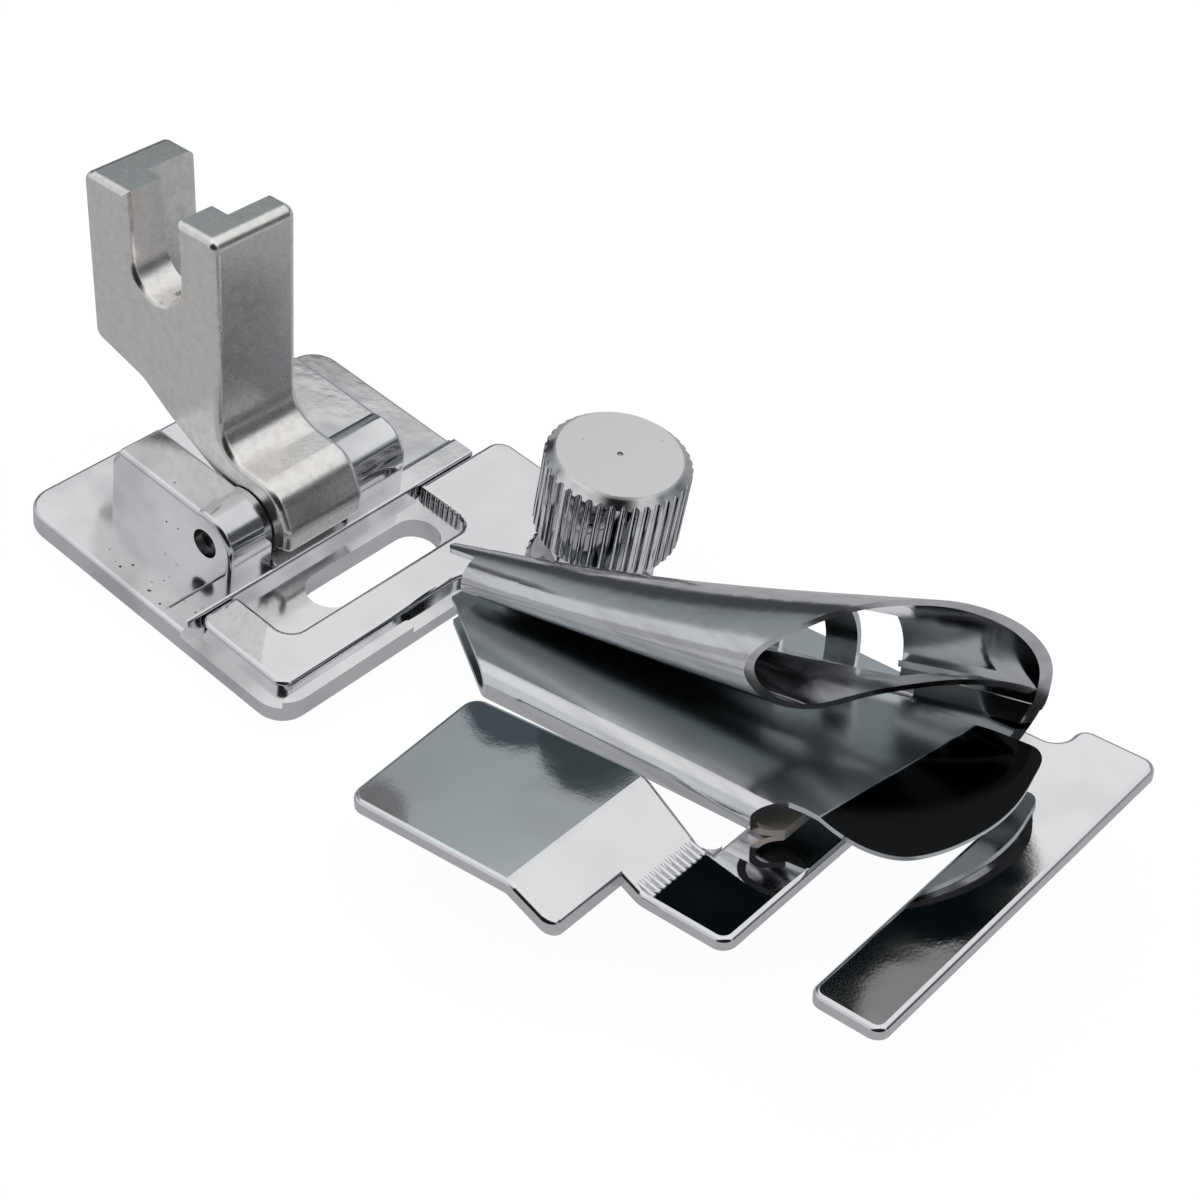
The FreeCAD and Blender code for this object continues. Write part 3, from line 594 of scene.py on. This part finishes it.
@dataclass
class Tent:
    """Soft light around the object: pale walls, a bright ceiling, and cards that shape the metal.

    Attributes:
        walls: Tone of the tent by elevation, from -90 to 90 degrees.
        cards: The cards, the later ones in front.
    """

    walls: tuple[tuple[float, str], ...] = (
        (-90.0, "#d8d8d8"),
        (0.0, "#bcbcbe"),
        (24.0, "#80878a"),
        (33.0, "#aab1b4"),
        (38.0, "#f0f0f0"),
        (90.0, "#ffffff"),
    )
    cards: tuple[Card, ...] = (
        # Dark room behind the photographer
        Card(-135.0, 18.0, 52.0, 48.0, "#222224", 0.3),
        # Open door far to the right
        Card(150.0, 15.0, 14.0, 26.0, "#505254", 0.5),
        # Pale wall at the back left, which the lower half of the roll mirrors
        Card(-42.0, 14.0, 38.0, 22.0, "#dadcde", 0.5),
        # Dark card low at the back, which draws the band along the roll
        Card(28.0, 11.0, 22.0, 11.0, "#46484c", 0.5),
        # White card, which the right half of the bar mirrors
        Card(61.0, 33.5, 7.0, 4.5, "#f6f6f6", 0.2),
        # Black card at the back, which the arm and the left half of the bar mirror
        Card(48.7, 35.5, 6.0, 3.2, "#080e10", 0.1),
        # Grey wall above it, which the left end of the bar mirrors
        Card(52.0, 38.3, 3.0, 1.2, "#8a8b8b", 0.15),
        # Three small cards, which darken the shelf along the fold and at its left corner
        Card(40.9, 29.6, 1.6, 1.3, "#4a5357", 0.3),
        Card(42.7, 30.9, 1.6, 1.35, "#3f474a", 0.2),
        Card(36.3, 31.4, 0.8, 0.7, "#777476", 0.3),
    )

    def build(self) -> None:
        """Makes the world of the scene, which the camera itself sees as plain white."""
        world = bpy.data.worlds.new("light_tent")
        bpy.context.scene.world = world
        world.use_nodes = True
        tree = world.node_tree
        tree.nodes.clear()
        direction = add_node(tree, "ShaderNodeTexCoord").outputs["Generated"]
        x, y, z = add_node(tree, "ShaderNodeSeparateXYZ", links={0: direction}).outputs
        azimuth = add_node(tree, "ShaderNodeMath", {"operation": "ARCTAN2"}, {0: x, 1: y})
        elevation = add_node(tree, "ShaderNodeMath", {"operation": "ARCSINE"}, {0: z}).outputs[0]
        links = {"X": azimuth.outputs[0], "Y": elevation}
        place = add_node(tree, "ShaderNodeCombineXYZ", links=links).outputs[0]
        tone = self._walls(tree, elevation)
        for card in self.cards:
            links = {0: card.cover(tree, place), 6: tone}
            settings = COLOURS | {7: linear(card.tone)}
            tone = add_node(tree, "ShaderNodeMix", settings, links).outputs[2]
        tent = add_node(tree, "ShaderNodeBackground", links={"Color": tone})
        backdrop = add_node(tree, "ShaderNodeBackground", {"Color": linear("#ffffff")})
        path = add_node(tree, "ShaderNodeLightPath")
        links = {0: path.outputs["Is Camera Ray"], 1: tent.outputs[0], 2: backdrop.outputs[0]}
        mix = add_node(tree, "ShaderNodeMixShader", links=links)
        add_node(tree, "ShaderNodeOutputWorld", links={"Surface": mix.outputs[0]})

    def _walls(self, tree: Tree, elevation: Socket) -> Socket:
        """Adds the tone of the walls and the ceiling.

        Args:
            tree: The world's node tree.
            elevation: Elevation, in radians.

        Returns:
            The tone.
        """
        settings = {"From Min": -math.pi / 2, "From Max": math.pi / 2}
        links = {"Value": elevation}
        share = add_node(tree, "ShaderNodeMapRange", settings, links).outputs["Result"]
        ramp = add_node(tree, "ShaderNodeValToRGB", links={"Fac": share})
        stops = ramp.color_ramp.elements
        # The ramp comes with a stop at each end
        for degrees, _ in self.walls[1:-1]:
            stops.new((degrees + 90) / 180)
        for stop, (_, tone) in zip(stops, self.walls):
            stop.color = linear(tone)
        return ramp.outputs["Color"]


@dataclass
class Floor:
    """White table, plain white to the camera but for a faint shadow.

    Attributes:
        radius_mm: Size of the table.
        card: Colour of the card that takes the shadow.
        white: What the camera sees.
        mirrored: What the metal shows of it.
        strength: How bright that is.
        glow: How much of the white has no shadow.
    """

    radius_mm: float = 1500.0
    card: str = "#f4f4f4"
    white: str = "#ffffff"
    mirrored: str = "#acacae"
    strength: float = 1.06
    glow: float = 0.9

    def build(self) -> None:
        """Lays the table."""
        mesh = bmesh.new()
        bmesh.ops.create_circle(mesh, cap_ends=True, segments=64, radius=self.radius_mm * MM)
        data = bpy.data.meshes.new("table")
        mesh.to_mesh(data)
        mesh.free()
        table = bpy.data.objects.new("table", data)
        bpy.context.scene.collection.objects.link(table)
        data.materials.append(self._paper())

    def _paper(self) -> bpy.types.Material:
        """Builds the material of the table.

        Returns:
            The material.
        """
        mat = bpy.data.materials.new("white_card")
        mat.use_nodes = True
        tree = mat.node_tree
        tree.nodes.clear()
        shaded = add_node(tree, "ShaderNodeBsdfDiffuse", {"Color": linear(self.card)})
        path = add_node(tree, "ShaderNodeLightPath")
        camera, glossy = path.outputs["Is Camera Ray"], path.outputs["Is Glossy Ray"]
        settings = COLOURS | {6: linear(self.white), 7: linear(self.mirrored)}
        seen = add_node(tree, "ShaderNodeMix", settings, {0: glossy}).outputs[2]
        glow = add_node(tree, "ShaderNodeEmission", {"Strength": self.strength}, {"Color": seen})
        links = {0: camera, 1: glossy}
        direct = add_node(tree, "ShaderNodeMath", {"operation": "MAXIMUM"}, links).outputs[0]
        settings = {"operation": "MULTIPLY", 1: self.glow}
        share = add_node(tree, "ShaderNodeMath", settings, {0: direct}).outputs[0]
        links = {0: share, 1: shaded.outputs[0], 2: glow.outputs[0]}
        mix = add_node(tree, "ShaderNodeMixShader", links=links)
        add_node(tree, "ShaderNodeOutputMaterial", links={"Surface": mix.outputs[0]})
        return mat


@dataclass
class Viewpoint:
    """The camera of the photograph.

    Attributes:
        azimuth: Where it looks from, in degrees from the front.
        elevation: How high it looks from, in degrees.
        roll: How far it is turned about its line of sight, in degrees.
        centre_mm: Where it stands.
        focal_px: Its focal length, in pixels of the image.
        image_px: Side of the square image.
        sensor_mm: Side of its sensor.
        near_mm: Distance from which it sees.
    """

    azimuth: float = -56.94
    elevation: float = 43.17
    roll: float = 11.93
    centre_mm: Triple = (-82.63, -71.51, 104.75)
    focal_px: float = 2353.3
    image_px: int = 1200
    sensor_mm: float = 36.0
    near_mm: float = 5.0

    def build(self) -> None:
        """Places the camera."""
        az, el, roll = (math.radians(a) for a in (self.azimuth, self.elevation, self.roll))
        back = Vector((math.sin(az) * math.cos(el), -math.cos(az) * math.cos(el), math.sin(el)))
        level_right = Vector((math.cos(az), math.sin(az), 0))
        level_up = back.cross(level_right)
        right = math.cos(roll) * level_right + math.sin(roll) * level_up
        up = -math.sin(roll) * level_right + math.cos(roll) * level_up
        data = bpy.data.cameras.new("photo_camera")
        data.sensor_width = self.sensor_mm
        data.lens = self.focal_px / self.image_px * self.sensor_mm
        data.clip_start = self.near_mm * MM
        camera = bpy.data.objects.new("photo_camera", data)
        turn = Matrix((right, up, back)).transposed().to_4x4()
        camera.matrix_world = Matrix.Translation(Vector(self.centre_mm) * MM) @ turn
        bpy.context.scene.collection.objects.link(camera)
        bpy.context.scene.camera = camera


def main() -> None:
    """Dresses every solid and sets up the studio."""
    for group in (CastFoot(), Shank(), Binder(), ThumbScrew()):
        group.dress()
    for item in (Viewpoint(), Floor(), Tent()):
        item.build()
        log.info("%s is up", type(item).__name__.lower())
    bpy.context.scene.view_settings.view_transform = "Standard"


if __name__ == "__main__":
    main()
